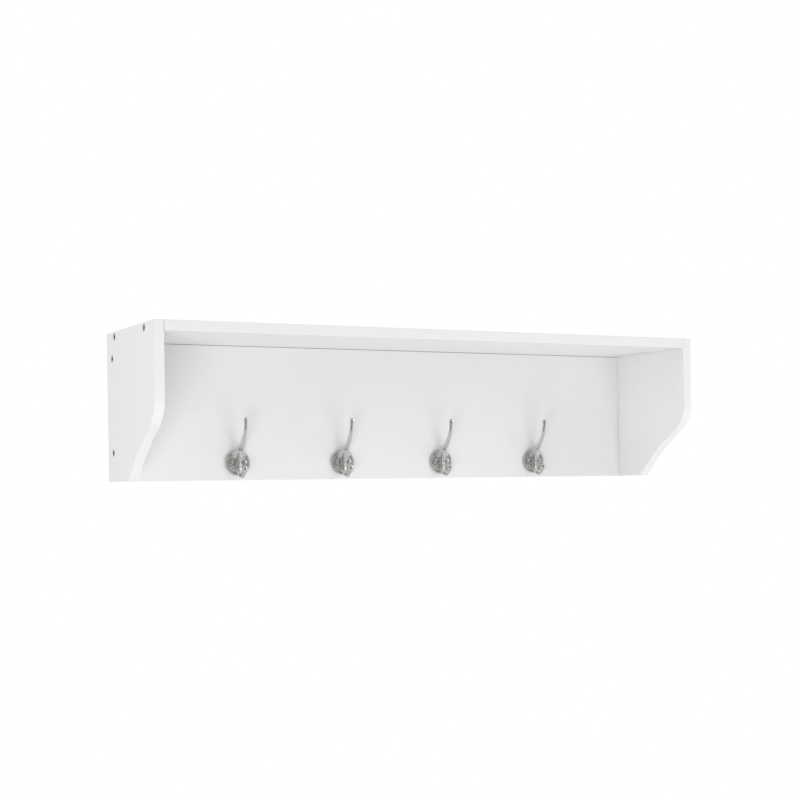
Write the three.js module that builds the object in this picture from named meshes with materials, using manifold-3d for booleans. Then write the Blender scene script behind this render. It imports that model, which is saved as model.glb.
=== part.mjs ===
// A wall hook rack: a short shelf over a row of double hooks, held between two shaped end panels.
// It hangs on a pair of bevelled rails hidden behind its back panel.
//
// Millimetres. +X runs along the rack, -Y points away from the wall, +Z is up.
// The wall is the plane y = 0, and the origin is the middle of the wall rail's rear face.

import * as THREE from 'three';
import { mergeVertices } from 'three/addons/utils/BufferGeometryUtils.js';
import Module from 'manifold-3d';

const wasm = await Module();
wasm.setup();

// ---------------------------------------------------------------- driving dimensions

// Carcase
const WIDTH = 914;
const DEPTH = 216;
const HEIGHT = 220;
const BOARD = 15;

// Lower front corner of an end panel: a round shoulder that runs into a hollow curve.
const TOE_DEPTH = 93; // length of the panel's bottom edge
const SHOULDER_HEIGHT = 116; // where the straight front edge ends, above the bottom
const SHOULDER_RADIUS = 50;
const SHOULDER_TURN = THREE.MathUtils.degToRad(62);

// Hanging rails
const RAIL_THICKNESS = 15;
const RAIL_HEIGHT = 60; // each rail, from its square edge to the tip of its bevel
const RAIL_END_SPACE = 30; // from an end panel to the end of a rail
const RAIL_FREE_SPACE = 2; // between each rail and the surface that it passes
const WALL_HOLE_PITCH = 203.2; // half of a 16 in stud spacing
const WALL_HOLE_COUNT = 4;
const WALL_HOLE_RADIUS = 2.75;
const WALL_SINK_RADIUS = 5.5;
const RAIL_SCREW_COUNT = 4;
const RAIL_SCREW_INSET = 60; // from the rail's end to its outer screws

// Carcase fasteners
const CONFIRMAT = { head: 5, rim: 1, cone: 3, shank: 3.5, thread: 3, tip: 1.6, length: 50, hex: 4, hexDepth: 3 };
const DOWEL = { radius: 4, length: 30, inFace: 10, chamfer: 1 };
const SHELF_SCREW_FROM_FRONT = 42;
const SHELF_SCREW_FROM_WALL = 37;
const PANEL_SCREW_FROM_EDGE = 24; // below the shelf's underside
const PANEL_SCREW_FROM_BOTTOM = 42;
const TOP_DOWEL_COUNT = 3;
const TOP_DOWEL_PITCH = 290;

// Hooks
const HOOK_COUNT = 4;
const HOOK_HEIGHT = 26.5; // rosette centre above the bottom edge
const ROSETTE = { radius: 20, rim: 3.8, rimWidth: 4, cove: 2.4, dome: 8, screwSeat: 4 };
const RIM_SECTION = [[0, 0.5], [0.25, 0.9], [0.5, 1], [0.8, 0.9]]; // [share in from the edge, share of the height]
const DOME_SECTION = [1, 0.8, 0.6, 0.4, 0.2, 0]; // shares of the dome's radius
const HOOK_SCREW_OFFSET = 10.5; // from the rosette's centre to each screw
const ARM_REACH = 39.5; // panel face to the tip of the upper arm
const ARM_RISE = 68; // rosette centre to the same tip
const CUP_REACH = 32; // panel face to the middle of the lower arm's ball
const CUP_DROP = 21.5; // rosette centre to the lowest part of the lower arm's centre line

// Hook arms. A path is [share of the reach, share of the rise or drop], from inside the dome outwards.
// A section is [half width, share of the length], and the depth is `flatness` times the width.
const UPPER_ARM = {
  flatness: 0.85,
  path: [
    [0.115, -0.04],
    [0.17, 0.16],
    [0.27, 0.285],
    [0.52, 0.37],
    [0.72, 0.51],
    [0.89, 0.67],
    [0.97, 0.83],
    [1, 1],
  ],
  sections: [
    [5, 0],
    [5.6, 0.12],
    [5.4, 0.24],
    [4, 0.36],
    [3.1, 0.5],
    [2.6, 0.68],
    [2.5, 0.84],
    [2.9, 0.9],
    [3.2, 0.945],
    [2.6, 0.98],
    [1.2, 0.997],
  ],
};
const LOWER_ARM = {
  flatness: 0.9,
  path: [
    [0.15, 0.15],
    [0.19, -0.45],
    [0.34, -0.86],
    [0.6, -1],
    [0.86, -0.81],
    [0.99, -0.5],
    [1.01, -0.2],
  ],
  sections: [
    [5, 0],
    [5, 0.15],
    [3.9, 0.3],
    [2.9, 0.45],
    [2.4, 0.6],
    [2.2, 0.74],
    [3.4, 0.81],
    [4.2, 0.88],
    [3.4, 0.955],
    [1.7, 0.99],
  ],
};
const WOOD_SCREW = {
  head: 3.7, rim: 0.5, cone: 1.7, shank: 1.9, tip: 0.6,
  slot: 0.9, slotReach: 4.8, slotDepth: 1.1,
};
const HOOK_SCREW_LENGTH = 14;
const RAIL_SCREW_LENGTH = 24;

// Clearances
const SEAM = 0.3; // between two boards that butt together, and under a seated piece
const FIT = 0.3; // all round a fastener in its hole
const MOUTH = 1; // how far a cut runs past the face that it opens in

// Facets
const SLIVER = 0.02;
const ROUND = 12;
const ROSETTE_SIDES = 24;
const ARM_SIDES = 8;
const CURVE_STEPS = 14;

// ---------------------------------------------------------------- derived levels

const panelRear = -(RAIL_THICKNESS + RAIL_FREE_SPACE);
const panelFront = panelRear - BOARD;
const panelMiddle = (panelRear + panelFront) / 2;
const shelfRailFront = panelRear + SEAM;
const shelfRailRear = shelfRailFront + RAIL_THICKNESS;
const innerHalf = WIDTH / 2 - BOARD;
const boardLength = 2 * (innerHalf - SEAM);

// The two bevels lie at 45 degrees, the shelf rail's a seam away from the wall rail's.
const wallRailTip = RAIL_HEIGHT / 2;
const shelfRailTip = wallRailTip - RAIL_THICKNESS - shelfRailRear + SEAM * Math.SQRT2;
const shelfRailTop = shelfRailTip + RAIL_HEIGHT;
const shelfUnder = shelfRailTop + SEAM;
const top = shelfUnder + BOARD;
const bottom = top - HEIGHT;
const shelfMiddle = top - BOARD / 2;
const railLength = 2 * (innerHalf - RAIL_END_SPACE);

const hookZ = bottom + HOOK_HEIGHT;
const hookSeat = panelFront - SEAM;

const towardsRoom = new THREE.Vector3(0, -1, 0);
const towardsWall = new THREE.Vector3(0, 1, 0);
const up = new THREE.Vector3(0, 0, 1);

// ---------------------------------------------------------------- materials

function finish(color, roughness, metalness) {
  return new THREE.MeshStandardMaterial({ color, roughness, metalness });
}

const laminate = finish(0xf2f2f1, 0.45, 0);
const plainWood = finish(0xc9a876, 0.8, 0);
const beech = finish(0xd9b98a, 0.75, 0);
const nickel = finish(0xc4c3c0, 0.28, 1);
const zincSteel = finish(0x8f9194, 0.4, 1);

// ---------------------------------------------------------------- solids

function toSolid(geometry) {
  const bare = geometry.index ? geometry.toNonIndexed() : geometry.clone();
  bare.deleteAttribute('normal');
  bare.deleteAttribute('uv');
  const merged = mergeVertices(bare, 1e-4);
  const corners = merged.index.array;
  const kept = [];
  for (let i = 0; i < corners.length; i += 3) {
    const [a, b, c] = corners.slice(i, i + 3);
    if (a !== b && b !== c && c !== a) {
      kept.push(a, b, c);
    }
  }
  const mesh = new wasm.Mesh({
    numProp: 3,
    vertProperties: new Float32Array(merged.attributes.position.array),
    triVerts: new Uint32Array(kept),
  });
  return new wasm.Manifold(mesh);
}

// Cutting leaves slivers far thinner than any real edge, which are closed up here.
function toGeometry(solid) {
  const mesh = solid.simplify(SLIVER).getMesh();
  const geometry = new THREE.BufferGeometry();
  geometry.setAttribute('position', new THREE.BufferAttribute(new Float32Array(mesh.vertProperties), 3));
  geometry.setIndex(new THREE.BufferAttribute(new Uint32Array(mesh.triVerts), 1));
  geometry.computeVertexNormals();
  return geometry;
}

function cut(solid, cutters) {
  return cutters.reduce((rest, cutter) => rest.subtract(cutter), solid);
}

function placed(geometry, place) {
  return geometry.clone().applyMatrix4(new THREE.Matrix4().compose(
    place.position,
    place.rotation,
    new THREE.Vector3(1, 1, 1),
  ));
}

// A place is a position, and the turn that takes +Y to the given direction.
function placeAt(x, y, z, direction) {
  return {
    position: new THREE.Vector3(x, y, z),
    rotation: new THREE.Quaternion().setFromUnitVectors(new THREE.Vector3(0, 1, 0), direction),
  };
}

function turned(profile, sides = ROUND) {
  return new THREE.LatheGeometry(profile.map(([r, y]) => new THREE.Vector2(r, y)), sides);
}

// ---------------------------------------------------------------- nodes

const rack = new THREE.Group();

function addNode(parent, name, geometry, material, place) {
  const mesh = new THREE.Mesh(geometry, material);
  mesh.name = name;
  if (place) {
    mesh.position.copy(place.position);
    mesh.quaternion.copy(place.rotation);
  }
  parent.add(mesh);
}

// A board is modelled about its own centre, with holes where the cutters reach it.
function addBoard(name, solid, centre, material) {
  const geometry = toGeometry(solid).translate(-centre.x, -centre.y, -centre.z);
  addNode(rack, name, geometry, material, { position: centre, rotation: new THREE.Quaternion() });
}

function boxSolid(sizeX, sizeY, sizeZ, centre) {
  return toSolid(new THREE.BoxGeometry(sizeX, sizeY, sizeZ).translate(centre.x, centre.y, centre.z));
}

// ---------------------------------------------------------------- fasteners

// Each fastener lies along -Y from its head at y = 0, and `grow` widens it into its own hole.

function confirmatProfile(grow) {
  const { head, rim, cone, shank, thread, tip, length } = CONFIRMAT;
  return [
    [0, -length - grow],
    [tip + grow, -length - grow],
    [thread + grow, -length + thread - grow],
    [thread + grow, -BOARD - cone],
    [shank + grow, -BOARD - cone + rim],
    [shank + grow, -rim - cone],
    [head + grow, -rim],
    [head + grow, 0],
    [0, 0],
  ];
}

function confirmatGeometry() {
  const { hex, hexDepth } = CONFIRMAT;
  const socketRadius = hex / 2 / Math.cos(Math.PI / 6);
  const socket = new THREE.CylinderGeometry(socketRadius, socketRadius, 2 * hexDepth, 6);
  return toGeometry(toSolid(turned(confirmatProfile(0))).subtract(toSolid(socket)));
}

function woodScrewProfile(length, grow) {
  const { head, rim, cone, shank, tip } = WOOD_SCREW;
  return [
    [0, -length - grow],
    [tip + grow, -length - grow],
    [shank + grow, -length + 2 * shank - grow],
    [shank + grow, -rim - cone],
    [head + grow, -rim],
    [head + grow, 0],
    [0, 0],
  ];
}

function woodScrewGeometry(length) {
  const { slot, slotReach, slotDepth } = WOOD_SCREW;
  const blades = [
    toSolid(new THREE.BoxGeometry(slotReach, 2 * slotDepth, slot)),
    toSolid(new THREE.BoxGeometry(slot, 2 * slotDepth, slotReach)),
  ];
  return toGeometry(cut(toSolid(turned(woodScrewProfile(length, 0))), blades));
}

function dowelProfile(grow) {
  const { radius, length, chamfer } = DOWEL;
  const half = length / 2 + grow;
  return [
    [0, -half],
    [radius + grow - chamfer, -half],
    [radius + grow, -half + chamfer],
    [radius + grow, half - chamfer],
    [radius + grow - chamfer, half],
    [0, half],
  ];
}

// A hole opens past the head, so that its mouth is clean.
function mouth(radius, place, reach = MOUTH) {
  return toSolid(placed(new THREE.CylinderGeometry(radius, radius, 2 * reach, ROUND), place));
}

function confirmatCutter(place) {
  return toSolid(placed(turned(confirmatProfile(FIT)), place)).add(mouth(CONFIRMAT.head + FIT, place));
}

function dowelCutter(place) {
  return toSolid(placed(turned(dowelProfile(FIT)), place));
}

function woodScrewCutter(length, place) {
  return toSolid(placed(turned(woodScrewProfile(length, FIT)), place));
}

// ---------------------------------------------------------------- where the fasteners go

const shelfScrewYs = [-DEPTH + SHELF_SCREW_FROM_FRONT, -SHELF_SCREW_FROM_WALL];
const panelScrewZs = [shelfUnder - PANEL_SCREW_FROM_EDGE, bottom + PANEL_SCREW_FROM_BOTTOM];
const middleOf = ([a, b]) => (a + b) / 2;

function sideFasteners(side) {
  const outward = new THREE.Vector3(side, 0, 0);
  const faceX = side * WIDTH / 2;
  const dowelX = side * (innerHalf + DOWEL.inFace - DOWEL.length / 2);
  return {
    shelfScrews: shelfScrewYs.map((y) => placeAt(faceX, y, shelfMiddle, outward)),
    panelScrews: panelScrewZs.map((z) => placeAt(faceX, panelMiddle, z, outward)),
    shelfDowel: placeAt(dowelX, middleOf(shelfScrewYs), shelfMiddle, outward),
    panelDowel: placeAt(dowelX, panelMiddle, middleOf(panelScrewZs), outward),
  };
}

const sides = { left: sideFasteners(-1), right: sideFasteners(1) };

const spread = (count, pitch) => Array.from({ length: count }, (_, i) => (i - (count - 1) / 2) * pitch);

const topDowels = spread(TOP_DOWEL_COUNT, TOP_DOWEL_PITCH).map((x) => placeAt(
  x,
  panelMiddle,
  shelfUnder + DOWEL.inFace - DOWEL.length / 2,
  up,
));

const railScrewPitch = (railLength - 2 * RAIL_SCREW_INSET) / (RAIL_SCREW_COUNT - 1);
const railScrews = spread(RAIL_SCREW_COUNT, railScrewPitch).map((x) => placeAt(
  x,
  shelfRailRear,
  shelfRailTop - (RAIL_HEIGHT - RAIL_THICKNESS) / 2,
  towardsWall,
));

const hookXs = spread(HOOK_COUNT, 2 * innerHalf / (HOOK_COUNT + 1));

function hookScrewPlaces(x) {
  return [-HOOK_SCREW_OFFSET, HOOK_SCREW_OFFSET].map((offset) => placeAt(
    x + offset,
    hookSeat - ROSETTE.screwSeat,
    hookZ,
    towardsRoom,
  ));
}

// ---------------------------------------------------------------- end panels

// The outline lies in the (distance from wall, height) plane.
function endOutline() {
  const shoulderZ = bottom + SHOULDER_HEIGHT;
  const startX = DEPTH - SHOULDER_RADIUS * (1 - Math.cos(SHOULDER_TURN));
  const startZ = shoulderZ - SHOULDER_RADIUS * Math.sin(SHOULDER_TURN);
  const toToe = new THREE.Vector2(TOE_DEPTH - startX, bottom - startZ);
  const outward = new THREE.Vector2(Math.cos(SHOULDER_TURN), -Math.sin(SHOULDER_TURN));
  const hollowRadius = toToe.lengthSq() / (2 * toToe.dot(outward));
  const hollow = new THREE.Vector2(startX, startZ).addScaledVector(outward, hollowRadius);
  const from = Math.atan2(startZ - hollow.y, startX - hollow.x);
  const to = Math.atan2(bottom - hollow.y, TOE_DEPTH - hollow.x);

  const outline = new THREE.Shape();
  outline.moveTo(0, top);
  outline.lineTo(DEPTH, top);
  outline.lineTo(DEPTH, shoulderZ);
  outline.absarc(DEPTH - SHOULDER_RADIUS, shoulderZ, SHOULDER_RADIUS, 0, -SHOULDER_TURN, true);
  outline.absarc(hollow.x, hollow.y, hollowRadius, from, to, false);
  outline.lineTo(0, bottom);
  outline.closePath();
  return outline;
}

function endSolid(side) {
  const slab = new THREE.ExtrudeGeometry(endOutline(), {
    depth: BOARD,
    bevelEnabled: false,
    curveSegments: CURVE_STEPS,
  });
  // The outline's x runs out from the wall, its y runs up, and the extrusion runs along the rack.
  const axes = new THREE.Matrix4().makeBasis(
    new THREE.Vector3(0, -1, 0),
    new THREE.Vector3(0, 0, 1),
    new THREE.Vector3(-1, 0, 0),
  );
  slab.applyMatrix4(axes).translate(side > 0 ? WIDTH / 2 : BOARD - WIDTH / 2, 0, 0);
  return toSolid(slab);
}

function addEndPanel(name, side, fasteners) {
  const cutters = [
    ...fasteners.shelfScrews.map(confirmatCutter),
    ...fasteners.panelScrews.map(confirmatCutter),
    dowelCutter(fasteners.shelfDowel),
    dowelCutter(fasteners.panelDowel),
  ];
  const centre = new THREE.Vector3(side * (WIDTH - BOARD) / 2, -DEPTH / 2, (top + bottom) / 2);
  addBoard(name, cut(endSolid(side), cutters), centre, laminate);
}

// ---------------------------------------------------------------- shelf and back panel

function addShelf() {
  const centre = new THREE.Vector3(0, -DEPTH / 2, shelfMiddle);
  const cutters = Object.values(sides).flatMap((side) => [
    ...side.shelfScrews.map(confirmatCutter),
    dowelCutter(side.shelfDowel),
  ]);
  cutters.push(...topDowels.map(dowelCutter));
  addBoard('top_shelf', cut(boxSolid(boardLength, DEPTH, BOARD, centre), cutters), centre, laminate);
}

function addBackPanel() {
  const height = shelfUnder - SEAM - bottom;
  const centre = new THREE.Vector3(0, panelMiddle, bottom + height / 2);
  const cutters = Object.values(sides).flatMap((side) => [
    ...side.panelScrews.map(confirmatCutter),
    dowelCutter(side.panelDowel),
  ]);
  cutters.push(...topDowels.map(dowelCutter));
  cutters.push(...railScrews.map((place) => woodScrewCutter(RAIL_SCREW_LENGTH, place)));
  const hookScrews = hookXs.flatMap(hookScrewPlaces);
  cutters.push(...hookScrews.map((place) => woodScrewCutter(HOOK_SCREW_LENGTH, place)));
  addBoard('back_panel', cut(boxSolid(boardLength, BOARD, height, centre), cutters), centre, laminate);
}

// ---------------------------------------------------------------- hanging rails

// A rail's section, in (y, z), is extruded along the rack.
function railSolid(corners) {
  const section = new THREE.Shape(corners.map(([y, z]) => new THREE.Vector2(y, z)));
  const bar = new THREE.ExtrudeGeometry(section, { depth: railLength, bevelEnabled: false });
  const axes = new THREE.Matrix4().makeBasis(
    new THREE.Vector3(0, 1, 0),
    new THREE.Vector3(0, 0, 1),
    new THREE.Vector3(1, 0, 0),
  );
  return toSolid(bar.applyMatrix4(axes).translate(-railLength / 2, 0, 0));
}

function addWallRail() {
  const solid = railSolid([
    [-RAIL_THICKNESS, -RAIL_HEIGHT / 2],
    [0, -RAIL_HEIGHT / 2],
    [0, wallRailTip - RAIL_THICKNESS],
    [-RAIL_THICKNESS, wallRailTip],
  ]);
  const sinkDepth = WALL_SINK_RADIUS - WALL_HOLE_RADIUS;
  const holeProfile = [
    [0, -RAIL_THICKNESS - MOUTH],
    [WALL_HOLE_RADIUS, -RAIL_THICKNESS - MOUTH],
    [WALL_HOLE_RADIUS, -sinkDepth],
    [WALL_SINK_RADIUS, 0],
    [WALL_SINK_RADIUS, MOUTH],
    [0, MOUTH],
  ];
  const holes = spread(WALL_HOLE_COUNT, WALL_HOLE_PITCH).map((x) => toSolid(
    placed(turned(holeProfile), placeAt(x, -RAIL_THICKNESS, 0, towardsRoom)),
  ));
  addBoard('wall_rail', cut(solid, holes), new THREE.Vector3(0, -RAIL_THICKNESS / 2, 0), plainWood);
}

function addShelfRail() {
  const solid = railSolid([
    [shelfRailFront, shelfRailTip + RAIL_THICKNESS],
    [shelfRailRear, shelfRailTip],
    [shelfRailRear, shelfRailTop],
    [shelfRailFront, shelfRailTop],
  ]);
  const cutters = railScrews.flatMap((place) => [
    woodScrewCutter(RAIL_SCREW_LENGTH, place),
    mouth(WOOD_SCREW.head + FIT, place),
  ]);
  const middle = (shelfRailFront + shelfRailRear) / 2;
  const centre = new THREE.Vector3(0, middle, (shelfRailTip + shelfRailTop) / 2);
  addBoard('shelf_rail', cut(solid, cutters), centre, plainWood);
}

// ---------------------------------------------------------------- hooks

// A turned bar is bent along a path in the (y, z) plane. A path's points are (distance out from the
// rosette's back, height above its centre).
function armSolid({ path, sections, flatness }, reach, rise) {
  const curve = new THREE.CatmullRomCurve3(
    path.map(([out, height]) => new THREE.Vector3(0, -out * reach, height * rise)),
    false,
    'centripetal',
  );
  const geometry = turned([[0, 0], ...sections, [0, 1]], ARM_SIDES);
  const position = geometry.attributes.position;
  const across = new THREE.Vector3(1, 0, 0);
  const vertex = new THREE.Vector3();
  for (let i = 0; i < position.count; i += 1) {
    vertex.fromBufferAttribute(position, i);
    const share = THREE.MathUtils.clamp(vertex.y, 0, 1);
    const normal = new THREE.Vector3().crossVectors(across, curve.getTangentAt(share)).normalize();
    const point = curve.getPointAt(share)
      .addScaledVector(across, vertex.x)
      .addScaledVector(normal, flatness * vertex.z);
    position.setXYZ(i, point.x, point.y, point.z);
  }
  return toSolid(geometry);
}

function rosette() {
  const { radius, rim, rimWidth, cove, dome } = ROSETTE;
  const domeRadius = radius - rimWidth;
  const profile = [
    [0, 0],
    [radius, 0],
    ...RIM_SECTION.map(([inwards, height]) => [radius - rimWidth * inwards, rim * height]),
    ...DOME_SECTION.map((share) => [share * domeRadius, cove + (dome - cove) * (1 - share * share)]),
  ];
  return toSolid(placed(turned(profile, ROSETTE_SIDES), placeAt(0, 0, 0, towardsRoom)));
}

function hookGeometry() {
  const screwHoles = [-HOOK_SCREW_OFFSET, HOOK_SCREW_OFFSET].flatMap((x) => {
    const place = placeAt(x, -ROSETTE.screwSeat, 0, towardsRoom);
    return [woodScrewCutter(HOOK_SCREW_LENGTH, place), mouth(WOOD_SCREW.head + FIT, place, ROSETTE.dome)];
  });
  const arms = armSolid(UPPER_ARM, ARM_REACH, ARM_RISE).add(armSolid(LOWER_ARM, CUP_REACH, CUP_DROP));
  return toGeometry(cut(rosette().add(arms), screwHoles));
}

function addHooks() {
  const casting = hookGeometry();
  const screw = woodScrewGeometry(HOOK_SCREW_LENGTH);
  hookXs.forEach((x, index) => {
    const name = `hook_${index + 1}`;
    const hook = new THREE.Group();
    hook.position.set(x, hookSeat, hookZ);
    addNode(hook, `${name}_casting`, casting, nickel);
    [['left', -1], ['right', 1]].forEach(([word, side]) => {
      const place = placeAt(side * HOOK_SCREW_OFFSET, -ROSETTE.screwSeat, 0, towardsRoom);
      addNode(hook, `${name}_screw_${word}`, screw, nickel, place);
    });
    rack.add(hook);
  });
}

// ---------------------------------------------------------------- carcase hardware

function addCarcaseHardware() {
  const confirmat = confirmatGeometry();
  const dowel = turned(dowelProfile(0));
  for (const [word, side] of Object.entries(sides)) {
    ['front', 'rear'].forEach((end, i) => {
      addNode(rack, `${word}_shelf_screw_${end}`, confirmat, zincSteel, side.shelfScrews[i]);
    });
    ['upper', 'lower'].forEach((end, i) => {
      addNode(rack, `${word}_panel_screw_${end}`, confirmat, zincSteel, side.panelScrews[i]);
    });
    addNode(rack, `${word}_shelf_dowel`, dowel, beech, side.shelfDowel);
    addNode(rack, `${word}_panel_dowel`, dowel, beech, side.panelDowel);
  }
  topDowels.forEach((place, i) => addNode(rack, `top_dowel_${i + 1}`, dowel, beech, place));
  const railScrew = woodScrewGeometry(RAIL_SCREW_LENGTH);
  railScrews.forEach((place, i) => addNode(rack, `rail_screw_${i + 1}`, railScrew, zincSteel, place));
}

// ---------------------------------------------------------------- assembly

addEndPanel('left_end_panel', -1, sides.left);
addEndPanel('right_end_panel', 1, sides.right);
addShelf();
addBackPanel();
addWallRail();
addShelfRail();
addHooks();
addCarcaseHardware();

export default rack;
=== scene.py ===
"""A white wall hook rack: laminated boards, ornamental nickel hooks, and their hardware."""

import math

import bmesh
import bpy
import numpy as np
from mathutils import Matrix, Vector


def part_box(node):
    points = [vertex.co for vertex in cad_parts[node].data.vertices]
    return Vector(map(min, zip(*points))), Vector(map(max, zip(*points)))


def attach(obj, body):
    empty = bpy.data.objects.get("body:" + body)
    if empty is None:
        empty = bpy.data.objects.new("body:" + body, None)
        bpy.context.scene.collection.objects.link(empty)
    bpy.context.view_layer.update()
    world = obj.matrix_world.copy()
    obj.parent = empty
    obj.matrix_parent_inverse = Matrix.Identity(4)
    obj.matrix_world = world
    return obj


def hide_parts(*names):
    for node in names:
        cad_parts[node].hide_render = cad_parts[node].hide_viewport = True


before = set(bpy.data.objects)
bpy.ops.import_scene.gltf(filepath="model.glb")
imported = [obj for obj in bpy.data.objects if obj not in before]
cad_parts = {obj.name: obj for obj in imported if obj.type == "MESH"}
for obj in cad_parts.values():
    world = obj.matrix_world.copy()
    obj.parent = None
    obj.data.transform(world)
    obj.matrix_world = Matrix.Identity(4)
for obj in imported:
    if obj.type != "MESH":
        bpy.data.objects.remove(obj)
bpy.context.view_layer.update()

MM = 0.001
TAU = 2 * math.pi
OUT = Vector((0, -1, 0))  # away from the wall
UP = Vector((0, 0, 1))

# ---------------------------------------------------------------- places, from the frame

LEFT_LOW, LEFT_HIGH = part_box("left_end_panel")
BOTTOM, TOP = LEFT_LOW.z, LEFT_HIGH.z
FRONT, WALL = LEFT_LOW.y, LEFT_HIGH.y
DEPTH = WALL - FRONT
HOOKS = range(1, 5)
RAIL_SCREWS = range(1, 5)

# The end panel's lower front corner, as the CAD has it.
TOE_DEPTH = 93 * MM
SHOULDER_HEIGHT = 116 * MM
SHOULDER_RADIUS = 50 * MM
SHOULDER_TURN = math.radians(62)

ARRIS = 0.6 * MM  # the rounding of a banded edge
BACK_JOINT = 0.3 * MM  # the fine gap between the back panel and the shelf
ALONG = ((1, 0, 0), (-1, 0, 0))


# ---------------------------------------------------------------- camera

EYE_FROM_CORNER = Vector((-708, -2096, -26)) * MM  # from the left end's lower front corner
TURN_RIGHT = math.radians(27.34)
ROLL = math.radians(-0.96)
LENS = 71.86
SHIFT_UP = 0.118


def add_camera():
    """The photograph's eye: left of the rack and in front, just below its bottom edge."""
    data = bpy.data.cameras.new("camera")
    data.sensor_width = 36
    data.lens = LENS
    data.shift_y = SHIFT_UP
    camera = bpy.data.objects.new("camera", data)
    eye = Vector((LEFT_LOW.x, FRONT, BOTTOM)) + EYE_FROM_CORNER
    facing = Matrix.Rotation(-TURN_RIGHT, 4, "Z") @ Matrix.Rotation(math.pi / 2, 4, "X")
    camera.matrix_world = Matrix.Translation(eye) @ facing @ Matrix.Rotation(ROLL, 4, "Z")
    bpy.context.scene.collection.objects.link(camera)
    bpy.context.scene.camera = camera


# ---------------------------------------------------------------- materials

class Nodes:
    """A material's node tree, with short calls for the nodes that the finishes share."""

    def __init__(self, name):
        self.material = bpy.data.materials.new(name)
        self.material.use_nodes = True
        self.tree = self.material.node_tree
        self.shader = self.tree.nodes["Principled BSDF"]
        self.place = self.add("ShaderNodeTexCoord").outputs["Object"]

    def add(self, kind, **settings):
        node = self.tree.nodes.new(kind)
        for key, value in settings.items():
            setattr(node, key, value)
        return node

    def feed(self, socket, value):
        if isinstance(value, bpy.types.NodeSocket):
            self.tree.links.new(value, socket)
        else:
            socket.default_value = value

    def set(self, **values):
        for key, value in values.items():
            self.feed(self.shader.inputs[key.replace("_", " ")], value)

    def stretched(self, scale):
        node = self.add("ShaderNodeMapping")
        self.feed(node.inputs["Vector"], self.place)
        node.inputs["Scale"].default_value = scale
        return node.outputs["Vector"]

    def noise(self, scale, detail=3.0, rough=0.5, vector=None, distortion=0.0):
        node = self.add("ShaderNodeTexNoise")
        self.feed(node.inputs["Vector"], vector or self.place)
        node.inputs["Scale"].default_value = scale
        node.inputs["Detail"].default_value = detail
        node.inputs["Roughness"].default_value = rough
        node.inputs["Distortion"].default_value = distortion
        return node.outputs["Fac"]

    def cells(self, scale, vector=None, feature="F1"):
        node = self.add("ShaderNodeTexVoronoi", feature=feature)
        self.feed(node.inputs["Vector"], vector or self.place)
        node.inputs["Scale"].default_value = scale
        return node

    def span(self, value, low, high, to_low=0.0, to_high=1.0):
        node = self.add("ShaderNodeMapRange")
        for key, number in zip(("Value", "From Min", "From Max", "To Min", "To Max"),
                               (value, low, high, to_low, to_high)):
            self.feed(node.inputs[key], number)
        return node.outputs["Result"]

    def maths(self, operation, a, b=0.0):
        node = self.add("ShaderNodeMath", operation=operation)
        self.feed(node.inputs[0], a)
        self.feed(node.inputs[1], b)
        return node.outputs["Value"]

    def mix(self, share, low, high):
        node = self.add("ShaderNodeMix", data_type="RGBA")
        self.feed(node.inputs["Factor"], share)
        for socket, colour in ((node.inputs["A"], low), (node.inputs["B"], high)):
            self.feed(socket, colour if isinstance(colour, bpy.types.NodeSocket) else (*colour, 1))
        return node.outputs["Result"]

    def bump(self, height, distance, strength=1.0, under=None):
        node = self.add("ShaderNodeBump")
        self.feed(node.inputs["Height"], height)
        node.inputs["Distance"].default_value = distance
        node.inputs["Strength"].default_value = strength
        if under is not None:
            self.feed(node.inputs["Normal"], under)
        return node.outputs["Normal"]


def laminate_material():
    """White melamine: a fine pressed pearl, faint handling haze, and arrises rubbed a little by use."""
    n = Nodes("white_laminate")
    haze = n.noise(9, 4, 0.6)
    speck = n.noise(700, 2, 0.5)
    pearl = n.noise(1300, 2, 0.6)
    arris = n.add("ShaderNodeAttribute", attribute_name="arris").outputs["Fac"]
    worn = n.maths("MULTIPLY", arris, n.span(n.noise(70, 3, 0.7), 0.5, 0.68))
    tone = n.mix(n.span(haze, 0.3, 0.7), (0.712, 0.712, 0.711), (0.720, 0.720, 0.719))
    tone = n.mix(n.span(speck, 0.66, 0.8, 0, 0.2), tone, (0.68, 0.68, 0.675))
    tone = n.mix(n.maths("MULTIPLY", worn, 0.3), tone, (0.62, 0.61, 0.58))
    n.set(Base_Color=tone)
    n.set(Roughness=n.maths("ADD", n.span(haze, 0.3, 0.7, 0.4, 0.47), n.maths("MULTIPLY", worn, 0.12)))
    n.set(Normal=n.bump(pearl, 0.015 * MM, 0.3))
    n.shader.inputs["Specular IOR Level"].default_value = 0.4
    return n.material


def particle_material():
    """The sawn core of a particle board: packed chips, with dark fines between them."""
    n = Nodes("particle_core")
    chips = n.cells(620, n.stretched((1, 0.6, 1)))
    fines = n.cells(1700)
    tone = n.mix(n.span(chips.outputs["Color"], 0.1, 0.9), (0.40, 0.27, 0.15), (0.72, 0.57, 0.38))
    tone = n.mix(n.span(fines.outputs["Distance"], 0.1, 0.6, 0, 0.45), tone, (0.24, 0.15, 0.08))
    n.set(Base_Color=tone, Roughness=n.span(n.noise(300), 0.3, 0.7, 0.75, 0.95))
    n.set(Normal=n.bump(chips.outputs["Distance"], 0.35 * MM, 0.7))
    n.shader.inputs["Specular IOR Level"].default_value = 0.2
    return n.material


PLY = 1.67 * MM


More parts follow.
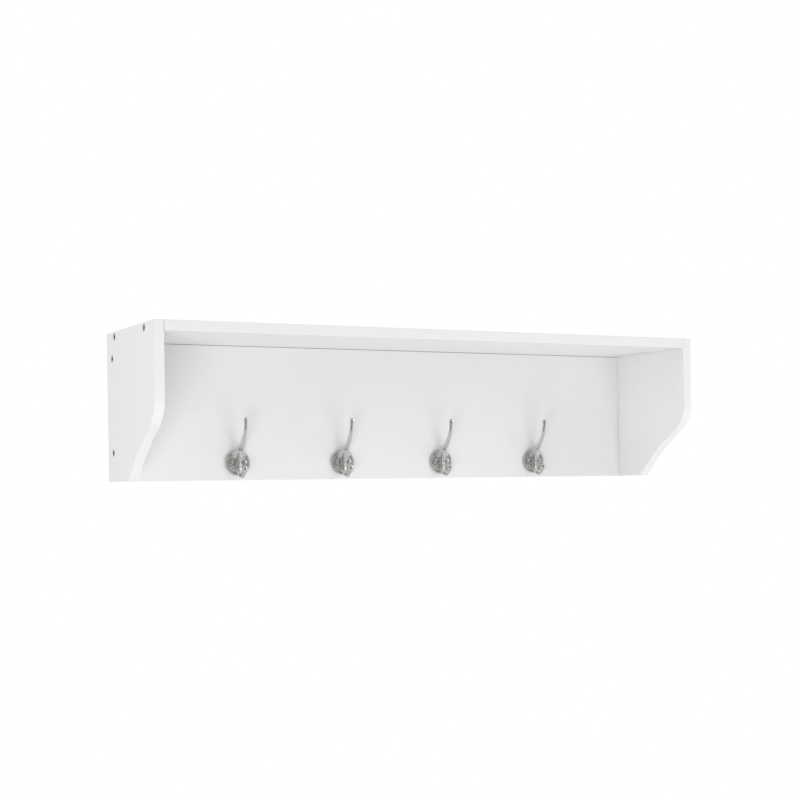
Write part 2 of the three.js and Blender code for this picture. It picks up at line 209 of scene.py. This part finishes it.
def plywood_material():
    """Bare plywood: plies across the thickness, each with its grain turned, and a sanded face."""
    n = Nodes("bare_board")
    split = n.add("ShaderNodeSeparateXYZ")
    n.feed(split.inputs["Vector"], n.place)
    depth = n.maths("ADD", n.maths("DIVIDE", split.outputs["Y"], PLY), 0.5)
    ply = n.maths("FLOOR", depth)
    turn = n.maths("ABSOLUTE", n.maths("MODULO", ply, 2))
    along = n.noise(60, 5, 0.6, n.stretched((0.35, 9, 9)), 0.4)
    across = n.noise(60, 4, 0.6, n.stretched((9, 9, 1.2)), 0.2)
    grain = n.mix(turn, along, across)
    edge = n.maths("FRACT", n.maths("ADD", depth, n.span(n.noise(40, 2), 0.3, 0.7, -0.08, 0.08)))
    glue = n.span(n.maths("ABSOLUTE", n.maths("SUBTRACT", edge, 0.5)), 0.43, 0.49)
    tone = n.mix(n.span(grain, 0.3, 0.7), (0.50, 0.36, 0.20), (0.70, 0.55, 0.36))
    tone = n.mix(n.maths("MULTIPLY", turn, 0.35), tone, (0.42, 0.29, 0.16))
    tone = n.mix(n.maths("MULTIPLY", glue, 0.6), tone, (0.16, 0.09, 0.05))
    n.set(Base_Color=tone, Roughness=n.span(grain, 0.3, 0.7, 0.62, 0.85))
    n.set(Normal=n.bump(grain, 0.15 * MM, 0.6))
    n.shader.inputs["Specular IOR Level"].default_value = 0.25
    return n.material


def beech_material():
    n = Nodes("beech_dowel")
    grain = n.noise(220, 4, 0.6, n.stretched((0.2, 2, 2)), 0.3)
    fleck = n.cells(900, n.stretched((0.3, 1, 1))).outputs["Distance"]
    tone = n.mix(n.span(grain, 0.3, 0.7), (0.60, 0.42, 0.25), (0.76, 0.59, 0.40))
    tone = n.mix(n.span(fleck, 0.0, 0.25, 0.4, 0), tone, (0.42, 0.26, 0.14))
    n.set(Base_Color=tone, Roughness=n.span(grain, 0.3, 0.7, 0.6, 0.8))
    n.set(Normal=n.bump(grain, 0.08 * MM, 0.6))
    return n.material


def nickel_material():
    """Bright satin nickel over a die casting: soft highlights, faint buffing marks, and dark recesses that
    are patina with painted shade.
    """
    n = Nodes("satin_nickel")
    recess = n.add("ShaderNodeAttribute", attribute_name="recess").outputs["Fac"]
    cast = n.noise(420, 3, 0.55)
    buff = n.noise(260, 4, 0.6, n.stretched((1, 4, 0.5)))
    tone = n.mix(n.span(buff, 0.3, 0.7), (0.60, 0.595, 0.585), (0.70, 0.695, 0.68))
    # painted shade with patina: the recess attribute darkens the hollows and, a little, the whole dome
    tone = n.mix(n.maths("MULTIPLY", recess, 0.9), tone, (0.05, 0.048, 0.045))
    rough = n.maths("ADD", n.span(buff, 0.3, 0.7, 0.17, 0.26), n.maths("MULTIPLY", recess, 0.3))
    n.set(Base_Color=tone, Roughness=rough)
    n.set(Normal=n.bump(cast, 0.04 * MM, 0.3))
    n.shader.inputs["Metallic"].default_value = 1.0
    return n.material


def steel_material():
    """Zinc plated steel: crystalline mottling, with darker patches at random."""
    n = Nodes("zinc_steel")
    spangle = n.cells(1400).outputs["Color"]
    rub = n.noise(900, 3, 0.6)
    tone = n.mix(n.span(spangle, 0.2, 0.8), (0.24, 0.24, 0.245), (0.34, 0.34, 0.345))
    tone = n.mix(n.span(rub, 0.5, 0.75, 0, 0.5), tone, (0.09, 0.09, 0.095))
    n.set(Base_Color=tone, Roughness=n.span(rub, 0.3, 0.7, 0.32, 0.5))
    n.set(Normal=n.bump(rub, 0.03 * MM, 0.5))
    n.shader.inputs["Metallic"].default_value = 1.0
    return n.material


def stage_material():
    n = Nodes("stage_paper")
    fibre = n.noise(25, 5, 0.6)
    n.set(Base_Color=n.mix(n.span(fibre, 0.3, 0.7), (0.60, 0.60, 0.60), (0.64, 0.64, 0.64)))
    n.set(Roughness=n.span(fibre, 0.3, 0.7, 0.8, 0.9))
    return n.material


LAMINATE = laminate_material()
PARTICLE = particle_material()
PLYWOOD = plywood_material()
BEECH = beech_material()
NICKEL = nickel_material()
STEEL = steel_material()


# ---------------------------------------------------------------- mesh helpers

def add_object(name, mesh, *materials):
    piece = bpy.data.objects.new(name, mesh)
    for material in materials:
        mesh.materials.append(material)
    bpy.context.scene.collection.objects.link(piece)
    return piece


def to_mesh(bm, name):
    bmesh.ops.recalc_face_normals(bm, faces=bm.faces)
    mesh = bpy.data.meshes.new(name)
    bm.to_mesh(mesh)
    bm.free()
    return mesh


def baked(piece):
    """The piece's mesh with its modifiers applied."""
    depsgraph = bpy.context.evaluated_depsgraph_get()
    mesh = bpy.data.meshes.new_from_object(piece.evaluated_get(depsgraph))
    piece.modifiers.clear()
    old, piece.data = piece.data, mesh
    bpy.data.meshes.remove(old)
    return mesh


def smooth(mesh, degrees):
    mesh.shade_smooth()
    mesh.set_sharp_from_angle(angle=math.radians(degrees))


def in_millimetres(profile):
    return [(radius * MM, height * MM) for radius, height in profile]


def turned(bm, profile, sides):
    """Adds a closed turned solid. The profile is (radius, height) from axis to axis, about +Z."""
    ring = [(math.cos(TAU * i / sides), math.sin(TAU * i / sides)) for i in range(sides)]
    rows = []
    for radius, height in profile:
        if radius < 1e-9:
            rows.append([bm.verts.new((0, 0, height))])
        else:
            rows.append([bm.verts.new((radius * c, radius * s, height)) for c, s in ring])
    for below, above in zip(rows, rows[1:]):
        for i in range(sides):
            j = (i + 1) % sides
            corners = [below[i % len(below)], below[j % len(below)],
                       above[j % len(above)], above[i % len(above)]]
            bm.faces.new(list(dict.fromkeys(corners)))


def standing(origin, direction):
    """The transform that puts +Z along a direction, with its foot at origin."""
    return Matrix.Translation(origin) @ UP.rotation_difference(Vector(direction)).to_matrix().to_4x4()


def cut_away(piece, cutter):
    modifier = piece.modifiers.new("cut", "BOOLEAN")
    modifier.operation = "DIFFERENCE"
    modifier.solver = "EXACT"
    modifier.object = cutter
    baked(piece)
    bpy.data.objects.remove(cutter)


def stand_for(piece, node):
    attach(piece, "root")
    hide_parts(node)
    return piece


# ---------------------------------------------------------------- boards

def arc(centre, radius, start, end, steps):
    angles = [start + (end - start) * i / steps for i in range(steps + 1)]
    return [(centre[0] + radius * math.cos(a), centre[1] + radius * math.sin(a)) for a in angles]


def end_outline():
    """(distance from the wall, height) round an end panel: a round shoulder that runs into a hollow."""
    shoulder_z = BOTTOM + SHOULDER_HEIGHT
    start = (DEPTH - SHOULDER_RADIUS * (1 - math.cos(SHOULDER_TURN)),
             shoulder_z - SHOULDER_RADIUS * math.sin(SHOULDER_TURN))
    to_toe = (TOE_DEPTH - start[0], BOTTOM - start[1])
    away = (math.cos(SHOULDER_TURN), -math.sin(SHOULDER_TURN))
    hollow_radius = (to_toe[0] ** 2 + to_toe[1] ** 2) / (2 * (to_toe[0] * away[0] + to_toe[1] * away[1]))
    hollow = (start[0] + hollow_radius * away[0], start[1] + hollow_radius * away[1])
    begin = math.atan2(start[1] - hollow[1], start[0] - hollow[0])
    finish = math.atan2(BOTTOM - hollow[1], TOE_DEPTH - hollow[0])
    shoulder = arc((DEPTH - SHOULDER_RADIUS, shoulder_z), SHOULDER_RADIUS, 0, -SHOULDER_TURN, 28)
    sweep = arc(hollow, hollow_radius, begin, finish, 32)
    return [(0, TOP), (DEPTH, TOP), *shoulder, *sweep[1:], (0, BOTTOM)]


def slab(name, outline, thickness, raw):
    """A board of that outline. Edges that face a raw direction are sawn, and the others are banded."""
    bm = bmesh.new()
    arris = bm.faces.layers.float.new("arris")
    low, high = thickness
    left = [bm.verts.new((low, -d, z)) for d, z in outline]
    right = [bm.verts.new((high, -d, z)) for d, z in outline]
    bm.faces.new(left)
    bm.faces.new(right)
    for i in range(len(outline)):
        j = (i + 1) % len(outline)
        bm.faces.new((left[i], left[j], right[j], right[i]))
    bmesh.ops.recalc_face_normals(bm, faces=bm.faces)
    for face in bm.faces:
        face.material_index = int(any(face.normal.dot(Vector(way)) > 0.99 for way in raw))
    banded = [edge for edge in bm.edges if edge.calc_face_angle() > math.radians(25)
              and not any(face.material_index for face in edge.link_faces)]
    rounded = bmesh.ops.bevel(bm, geom=banded, offset=ARRIS, segments=3, profile=0.5,
                              affect="EDGES", material=0)
    for face in rounded["faces"]:
        face[arris] = 1.0
    return add_object(name, to_mesh(bm, name), LAMINATE, PARTICLE)


def rectangle(low, high):
    return [(-low.y, high.z), (-low.y, low.z), (-high.y, low.z), (-high.y, high.z)]


def soften(piece):
    smooth(piece.data, 32)
    weighted = piece.modifiers.new("flat faces", "WEIGHTED_NORMAL")
    weighted.keep_sharp = True


def hole_cutter(places, profile):
    bm = bmesh.new()
    for origin, direction in places:
        part = bmesh.new()
        turned(part, profile, 48)
        part.transform(standing(origin, direction))
        holder = bpy.data.meshes.new("part")
        part.to_mesh(holder)
        part.free()
        bm.from_mesh(holder)
        bpy.data.meshes.remove(holder)
    return add_object("cutter", to_mesh(bm, "cutter"))


CONFIRMAT_NODES = ("shelf_screw_front", "shelf_screw_rear", "panel_screw_upper", "panel_screw_lower")
CONFIRMAT_MOUTH = in_millimetres([(0, 3), (5.5, 3), (5.5, -0.05), (5.3, -0.25), (5.3, -1.2), (3.8, -4),
                                  (3.8, -12), (0, -12)])


def confirmat_places(word, side):
    face_x = -side * LEFT_LOW.x
    places = []
    for node in CONFIRMAT_NODES:
        low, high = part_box(f"{word}_{node}")
        middle = (low + high) / 2
        places.append((Vector((face_x, middle.y, middle.z)), Vector((side, 0, 0))))
    return places


def add_end_panel(word, side):
    node = f"{word}_end_panel"
    low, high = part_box(node)
    panel = slab(f"{node}_board", end_outline(), (low.x, high.x), [-OUT])
    cut_away(panel, hole_cutter(confirmat_places(word, side), CONFIRMAT_MOUTH))
    soften(panel)
    stand_for(panel, node)


def add_level_board(node, raw, short=0.0):
    """A plain board between the end panels. It can stop short of its full height, for a fine joint."""
    low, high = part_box(node)
    high = high - UP * short
    board = slab(f"{node}_board", rectangle(low, high), (low.x, high.x), [*raw, *ALONG])
    soften(board)
    stand_for(board, node)


def add_boards():
    add_end_panel("left", -1)
    add_end_panel("right", 1)
    add_level_board("top_shelf", [-OUT])
    add_level_board("back_panel", [UP], BACK_JOINT)


# ---------------------------------------------------------------- screws

def cut_cross(screw, reach, slot, depth):
    """Cuts a cross recess that narrows towards its floor."""
    for turn in (0, math.pi / 2):
        bm = bmesh.new()
        bmesh.ops.create_cube(bm, size=1)
        for vert in bm.verts:
            share = 0.4 if vert.co.z < 0 else 1.0
            vert.co = Vector((vert.co.x * reach * share, vert.co.y * slot, vert.co.z * 2 * depth))
        bm.transform(Matrix.Rotation(turn, 4, "Z"))
        cut_away(screw, add_object("cutter", to_mesh(bm, "cutter")))


SCREW_HEAD = 3.7 * MM
SCREW_SHANK = 1.9 * MM
SCREW_CORE = SCREW_SHANK * 0.72
SCREW_PITCH = 1.4 * MM
SCREW_TIP = 3.2 * MM
SCREW_PLAIN = 1.8 * MM
SCREW_DOME = 0.9 * MM
HOOK_SCREW_LENGTH = 14 * MM
RAIL_SCREW_LENGTH = 24 * MM


def wood_screw_mesh(length):
    """A raised countersunk head with a cross recess, and a threaded shank, standing along +Z."""
    rise = [math.radians(degrees) for degrees in range(0, 90, 10)]
    dome = [(SCREW_HEAD * math.cos(a), SCREW_DOME * math.sin(a)) for a in rise]
    thread = []
    for i in range(int((length - SCREW_TIP - SCREW_PLAIN) / SCREW_PITCH)):
        z = -length + SCREW_TIP + i * SCREW_PITCH
        crest, root = z + 0.45 * SCREW_PITCH, z + 0.9 * SCREW_PITCH
        thread += [(SCREW_CORE, z), (SCREW_SHANK, crest), (SCREW_CORE, root)]
    bm = bmesh.new()
    neck = [(SCREW_SHANK, -2.4 * MM), (SCREW_HEAD, -0.35 * MM)]
    profile = [(0, -length), *thread, *neck, *dome, (0, SCREW_DOME)]
    turned(bm, profile, 40)
    screw = add_object("screw", to_mesh(bm, "wood_screw"), NICKEL)
    cut_cross(screw, 4.2 * MM, 0.85 * MM, 1.2 * MM)
    mesh = screw.data
    smooth(mesh, 35)
    bpy.data.objects.remove(screw)
    return mesh


CONFIRMAT_SUNK = 0.25 * MM  # how far its head lies below the face


def confirmat_mesh():
    """A confirmat screw standing along +Z: a flat countersunk head with a hexagon socket."""
    thread = []
    for i in range(9):
        z = -46 + 3 * i
        thread += [(2.4, z), (3.0, z + 1.2), (2.4, z + 2.4)]
    tip = [(0, -50), (1.6, -50), (2.6, -47)]
    shank = [(3.0, -17.2), (3.5, -16.6), (3.5, -4.2)]
    head = [(4.95, -1.1), (5.0, -0.9), (5.0, -0.3), (4.75, 0), (2.75, 0), (2.5, -0.15), (0, -0.15)]
    bm = bmesh.new()
    turned(bm, in_millimetres([*tip, *thread, *shank, *head]), 48)
    screw = add_object("screw", to_mesh(bm, "confirmat"), STEEL)
    socket = bmesh.new()
    turned(socket, in_millimetres([(0, -3), (2.31, -3), (2.31, 2), (0, 2)]), 6)
    cut_away(screw, add_object("cutter", to_mesh(socket, "cutter")))
    mesh = screw.data
    smooth(mesh, 30)
    bpy.data.objects.remove(screw)
    return mesh


def add_screw(node, mesh, origin, direction, material=None):
    mesh = mesh.copy()
    mesh.transform(standing(origin, direction))
    if material:
        mesh.materials.clear()
        mesh.materials.append(material)
    stand_for(add_object(f"{node}_detail", mesh), node)


def add_screws():
    confirmat = confirmat_mesh()
    for word, side in (("left", -1), ("right", 1)):
        for node, (origin, direction) in zip(CONFIRMAT_NODES, confirmat_places(word, side)):
            head = origin - direction * CONFIRMAT_SUNK
            add_screw(f"{word}_{node}", confirmat, head, direction)
    rail_screw = wood_screw_mesh(RAIL_SCREW_LENGTH)
    for i in RAIL_SCREWS:
        low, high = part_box(f"rail_screw_{i}")
        middle = (low + high) / 2
        seat = Vector((middle.x, high.y - SCREW_DOME, middle.z))
        add_screw(f"rail_screw_{i}", rail_screw, seat, -OUT, STEEL)
    hook_screw = wood_screw_mesh(HOOK_SCREW_LENGTH)
    for i in HOOKS:
        for word in ("left", "right"):
            node = f"hook_{i}_screw_{word}"
            low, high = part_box(node)
            middle = (low + high) / 2
            add_screw(node, hook_screw, Vector((middle.x, low.y, middle.z)), OUT)


# ---------------------------------------------------------------- hooks

# Millimetres in this section, until a vertex is made.
ROSETTE_RADIUS = 20
DOME_RADIUS = 15.4
DOME_EDGE = 2.3
DOME_HEIGHT = 8
SCREW_SEAT = 4
SCREW_OFFSET = 10.5
CHANNEL_FLOOR = 2.2
BEADS = 32
BEAD_CIRCLE = 17.5
BEAD_ALONG, BEAD_ACROSS, BEAD_RISE = 1.66, 1.62, 1.55
PETALS = 16
PETAL_RELIEF = 1.5


def ease(t):
    t = np.clip(t, 0, 1)
    return t * t * (3 - 2 * t)


def bead_ring(r, theta):
    """A ring of beads in a shallow channel, inside a plain lip."""
    along = np.abs(((theta * BEADS / TAU) % 1) - 0.5) * TAU * BEAD_CIRCLE / BEADS
    off_bead = (along / BEAD_ALONG) ** 2 + ((r - BEAD_CIRCLE) / BEAD_ACROSS) ** 2
    beads = BEAD_RISE * np.sqrt(np.maximum(0, 1 - off_bead))
    lip = 0.9 * ease((r - 18.9) / 0.35) - 1.1 * ease((r - 19.5) / 0.5)
    return CHANNEL_FLOOR + beads + lip


def gadrooned_dome(r, theta):
    """A dome of radial petals, deepest at mid radius, with a plain collar at the middle."""
    plain = DOME_EDGE + (DOME_HEIGHT - DOME_EDGE) * (1 - (r / DOME_RADIUS) ** 2)
    petal = np.abs(np.sin(theta * PETALS / 2)) ** 0.6 - 0.75
    spread = ease((r - 5.5) / 2.5) * ease((DOME_RADIUS + 0.2 - r) / 1.5)
    collar = 0.5 * np.exp(-((r - 5.2) / 0.6) ** 2)
    return plain + PETAL_RELIEF * petal * spread + collar


def rosette_height(r, theta):
    """How far the rosette stands off the panel, in millimetres, at a radius and an angle."""
    height = np.where(r < DOME_RADIUS, gadrooned_dome(r, theta), bead_ring(r, theta))
    across, up = r * np.cos(theta), r * np.sin(theta)
    for side in (-1, 1):
        away = np.hypot(across - side * SCREW_OFFSET, up)
        collar = SCREW_SEAT + 0.9 * np.exp(-((away - 4.9) / 0.5) ** 2)
        height = collar + (height - collar) * ease((away - 4.7) / 0.9)
    return height


def add_rosette(bm, sides=320, rings=100):
    angles = [TAU * i / sides for i in range(sides)]
    radii = [ROSETTE_RADIUS * k / rings for k in range(1, rings + 1)]
    heights = rosette_height(*np.meshgrid(radii, angles, indexing="ij"))

    def at(r, theta, out):
        return bm.verts.new(Vector((r * math.cos(theta), -out, r * math.sin(theta))) * MM)

    centre = at(0, 0, DOME_HEIGHT)
    rows = [[at(r, theta, heights[k, i]) for i, theta in enumerate(angles)] for k, r in enumerate(radii)]
    rear = [at(radii[-1], theta, 0) for theta in angles]
    for i in range(sides):
        j = (i + 1) % sides
        bm.faces.new((centre, rows[0][i], rows[0][j]))
        for inner, outer in zip(rows, rows[1:]):
            bm.faces.new((inner[i], outer[i], outer[j], inner[j]))
        bm.faces.new((rows[-1][i], rear[i], rear[j], rows[-1][j]))
    bm.faces.new(rear)


def spline(points, count):
    """Evenly spaced points on a smooth curve through (out, up) points, in millimetres."""
    knots = [Vector(p) for p in points]
    knots = [2 * knots[0] - knots[1], *knots, 2 * knots[-1] - knots[-2]]
    dense = []
    for a, b, c, d in zip(knots, knots[1:], knots[2:], knots[3:]):
        for i in range(24):
            t = i / 24
            dense.append(0.5 * ((2 * b) + (c - a) * t + (2 * a - 5 * b + 4 * c - d) * t * t
                                + (3 * b - a - 3 * c + d) * t ** 3))
    dense.append(knots[-2])
    steps = np.array([(q - p).length for p, q in zip(dense, dense[1:])])
    along = np.concatenate([[0], np.cumsum(steps)]) / steps.sum()
    want = np.linspace(0, 1, count)
    line = np.array(dense)
    return np.stack([np.interp(want, along, line[:, k]) for k in range(2)], 1)


def add_arm(bm, points, sections, flutes=0.0, sides=60, rings=140):
    """A swept arm. A section is (share of the length, half width, half depth), in millimetres."""
    line = spline(points, rings)
    shares = np.linspace(0, 1, rings)
    table = np.array(sections)
    half = np.interp(shares, table[:, 0], table[:, 1])
    deep = np.interp(shares, table[:, 0], table[:, 2])
    rows = []
    for k in range(rings):
        run = line[min(k + 1, rings - 1)] - line[max(k - 1, 0)]
        run /= np.linalg.norm(run)
        normal = np.array([run[1], -run[0]])
        relief = flutes * max(0.0, 1 - shares[k] / 0.75)
        row = []
        for i in range(sides):
            angle = TAU * i / sides
            swell = 1 + relief * math.cos(10 * angle)
            across, off = half[k] * swell * math.cos(angle), deep[k] * swell * math.sin(angle)
            out, up = line[k] + normal * off
            row.append(bm.verts.new((across * MM, -out * MM, up * MM)))
        rows.append(row)
    for row, following in zip(rows, rows[1:]):
        for i in range(sides):
            j = (i + 1) % sides
            bm.faces.new((row[i], row[j], following[j], following[i]))
    bm.faces.new(rows[0])
    bm.faces.new(rows[-1])


# Paths are (out from the panel, up from the rosette's centre).
UPPER_ARM = [(4.5, -2.7), (6.7, 10.9), (10.7, 19.4), (20.5, 25.2), (28.4, 34.7), (35.2, 45.6),
             (38.3, 56.4), (39.5, 68)]
UPPER_SECTIONS = [(0, 4.4, 3.8), (0.1, 4.8, 4.2), (0.2, 5.0, 4.0), (0.28, 4.9, 3.6), (0.36, 4.6, 3.2),
                  (0.44, 4.1, 2.9), (0.57, 3.4, 2.6), (0.72, 3.0, 2.4), (0.84, 2.8, 2.35),
                  (0.88, 2.9, 2.5), (0.92, 3.3, 3.0), (0.95, 3.4, 3.15), (0.975, 3.0, 2.7),
                  (0.99, 2.0, 1.8), (1, 0.4, 0.4)]
SHOULDER = [(3.6, 2), (4.2, 6), (4.7, 9.5), (5.8, 13), (8.2, 16.8), (11.6, 20.2), (16, 23), (20.5, 25.2)]
SHOULDER_SECTIONS = [(0, 3, 1.2), (0.14, 8, 2.8), (0.27, 11.8, 3.6), (0.4, 11, 3.7), (0.53, 8.4, 3.5),
                     (0.68, 6, 3.1), (0.84, 4.6, 2.9), (1, 3.4, 2.2)]
LOWER_ARM = [(4.8, 3.2), (6.1, -9.7), (10.9, -18.5), (19.2, -21.5), (27.5, -17.4), (31.7, -10.8),
             (32.3, -4.3)]
LOWER_SECTIONS = [(0, 4.4, 3.6), (0.15, 4.9, 3.9), (0.28, 4.4, 3.3), (0.42, 3.3, 2.6), (0.6, 2.6, 2.1),
                  (0.74, 2.2, 2.0), (0.785, 2.7, 2.6), (0.83, 3.7, 3.7), (0.885, 4.2, 4.2),
                  (0.94, 3.7, 3.7), (0.975, 2.6, 2.6), (0.992, 1.5, 1.5), (1, 0.4, 0.4)]


VOXEL = 0.26 * MM
SCREW_POCKET = in_millimetres([(0, 4), (4.0, 4), (4.0, -0.4), (2.2, -2.2), (2.2, -7), (0, -7)])


def casting_mesh():
    """The whole hook as one casting, about its rosette's centre on the panel side."""
    bm = bmesh.new()
    add_rosette(bm)
    add_arm(bm, UPPER_ARM, UPPER_SECTIONS, flutes=0.05)
    add_arm(bm, SHOULDER, SHOULDER_SECTIONS, flutes=0.035)
    add_arm(bm, LOWER_ARM, LOWER_SECTIONS, flutes=0.05)
    casting = add_object("casting", to_mesh(bm, "casting"), NICKEL)
    fuse = casting.modifiers.new("fuse", "REMESH")
    fuse.mode = "VOXEL"
    fuse.voxel_size = VOXEL
    relax = casting.modifiers.new("relax", "SMOOTH")
    relax.factor = 0.5
    relax.iterations = 2
    baked(casting)
    holes = [(Vector((side * SCREW_OFFSET, -SCREW_SEAT, 0)) * MM, OUT) for side in (-1, 1)]
    cut_away(casting, hole_cutter(holes, SCREW_POCKET))
    mesh = casting.data
    mark_recesses(mesh)
    mesh.shade_smooth()
    bpy.data.objects.remove(casting)
    return mesh


def blurred(place, ends, passes):
    """Vertex places averaged with their neighbours, that many times over."""
    count = len(place)
    degree = np.bincount(np.concatenate(ends), minlength=count)[:, None]
    a, b = ends
    for _ in range(passes):
        total = [np.bincount(a, place[b, k], count) + np.bincount(b, place[a, k], count) for k in range(3)]
        place = np.stack(total, 1) / degree
    return place


BLUR_PASSES = 16
FULL_HOLLOW = 0.2 * MM  # the depth below the blurred surface that counts as a full hollow


def mark_recesses(mesh):
    """Stores how dark each vertex is made, as patina with painted shade: most in the hollows of the dome,
    less among the beads.
    """
    count = len(mesh.vertices)
    place, normal = np.empty(count * 3), np.empty(count * 3)
    mesh.vertices.foreach_get("co", place)
    mesh.vertices.foreach_get("normal", normal)
    place, normal = place.reshape(-1, 3), normal.reshape(-1, 3)
    ends = np.empty(len(mesh.edges) * 2, int)
    mesh.edges.foreach_get("vertices", ends)
    broad = blurred(place, ends.reshape(-1, 2).T, BLUR_PASSES)
    hollow = np.clip(np.einsum("ij,ij->i", broad - place, normal) / FULL_HOLLOW, 0, 1)
    radius, out = np.hypot(place[:, 0], place[:, 2]) / MM, -place[:, 1] / MM
    dome = DOME_HEIGHT - (DOME_HEIGHT - DOME_EDGE) * (radius / DOME_RADIUS) ** 2
    on_dome = ease((DOME_RADIUS - radius) / 1.5) * ease((dome + 1.2 - out) / 0.5)
    # patina with painted shade: hollows darkened like baked cavity shade, and the whole dome a little
    # darker
    patina_and_shade = hollow * (0.1 + 0.6 * on_dome) + 0.1 * on_dome
    attribute = mesh.attributes.new("recess", "FLOAT", "POINT")
    attribute.data.foreach_set("value", np.clip(patina_and_shade, 0, 1).astype(np.float32))


def add_hooks():
    casting = casting_mesh()
    for i in HOOKS:
        node = f"hook_{i}_casting"
        low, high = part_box(node)
        screw_low, screw_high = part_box(f"hook_{i}_screw_left")
        seat = Vector(((low.x + high.x) / 2, high.y, (screw_low.z + screw_high.z) / 2))
        mesh = casting.copy()
        mesh.transform(Matrix.Translation(seat))
        stand_for(add_object(f"{node}_detail", mesh), node)


# ---------------------------------------------------------------- rails and dowels

def finish_with(node, material):
    """Gives a CAD piece a material as it is, since a sawn rail or a dowel needs no new shape."""
    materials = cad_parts[node].data.materials
    materials.clear()
    materials.append(material)


def add_rails():
    for node in ("wall_rail", "shelf_rail"):
        finish_with(node, PLYWOOD)
    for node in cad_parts:
        if "dowel" in node:
            finish_with(node, BEECH)


# ---------------------------------------------------------------- stage and light

ROOM_LEVEL = 0.3
MIDDLE = Vector((0, FRONT / 2, (TOP + BOTTOM) / 2))
RIGHT_INSIDE = Vector((-LEFT_HIGH.x, FRONT / 2, 0))
SOFT_BOXES = {  # place, diameter, power, whether polished metal shows it
    "key": ((2.1, -1.3, 0.9), 1.2, 14, True),
    "low": ((-1.5, -1.9, -0.9), 1.0, 20, False),
    "under": ((0.3, -1.2, -1.1), 1.2, 10.5, False),
    "left": ((-2.2, -0.7, 0.5), 1.0, 8, False),
}
BOUNCE_CARD = {"where": (-0.40, -0.36, -0.16), "size": 0.2, "power": 0.038, "mirrored": False,
               "aim": RIGHT_INSIDE, "spread": 30}
FLOOR_HALF = 2.4
FLOOR_DROP = 1.3  # below the rack's bottom edge


def add_stage():
    floor = bmesh.new()
    bmesh.ops.create_grid(floor, x_segments=1, y_segments=1, size=FLOOR_HALF)
    floor.transform(Matrix.Translation((0, 0, BOTTOM - FLOOR_DROP)))
    piece = add_object("floor", to_mesh(floor, "floor"), stage_material())


def add_light(name, where, size, power, mirrored, aim=MIDDLE, spread=180):
    data = bpy.data.lights.new(name, "AREA")
    data.shape = "DISK"
    data.size = size
    data.spread = math.radians(spread)
    data.energy = power
    lamp = bpy.data.objects.new(name, data)
    lamp.visible_glossy = mirrored
    way = aim - Vector(where)
    lamp.matrix_world = Matrix.Translation(where) @ way.to_track_quat("-Z", "Y").to_matrix().to_4x4()
    bpy.context.scene.collection.objects.link(lamp)


def add_lights():
    add_light("card", **BOUNCE_CARD)
    for name, (where, size, power, mirrored) in SOFT_BOXES.items():
        add_light(name, where, size, power, mirrored)


def add_world():
    """A white studio that is darker behind the viewer, so that polished metal has a room to reflect."""
    world = bpy.data.worlds.new("studio")
    bpy.context.scene.world = world
    world.use_nodes = True
    tree = world.node_tree
    way = tree.nodes.new("ShaderNodeTexCoord")
    ahead = tree.nodes.new("ShaderNodeVectorMath")
    ahead.operation = "DOT_PRODUCT"
    ahead.inputs[1].default_value = (math.sin(TURN_RIGHT), math.cos(TURN_RIGHT), 0)
    tree.links.new(way.outputs["Generated"], ahead.inputs[0])
    ramp = tree.nodes.new("ShaderNodeMapRange")
    ramp.interpolation_type = "SMOOTHSTEP"
    ramp.inputs["From Min"].default_value = -1.0
    ramp.inputs["From Max"].default_value = -0.15
    ramp.inputs["To Min"].default_value = ROOM_LEVEL
    tree.links.new(ahead.outputs["Value"], ramp.inputs["Value"])
    tree.links.new(ramp.outputs["Result"], tree.nodes["Background"].inputs["Strength"])
    tree.nodes["Background"].inputs["Color"].default_value = (1, 1, 1, 1)
    bpy.context.scene.view_settings.view_transform = "Standard"


add_camera()
add_boards()
add_hooks()
add_screws()
add_rails()
add_stage()
add_world()
add_lights()
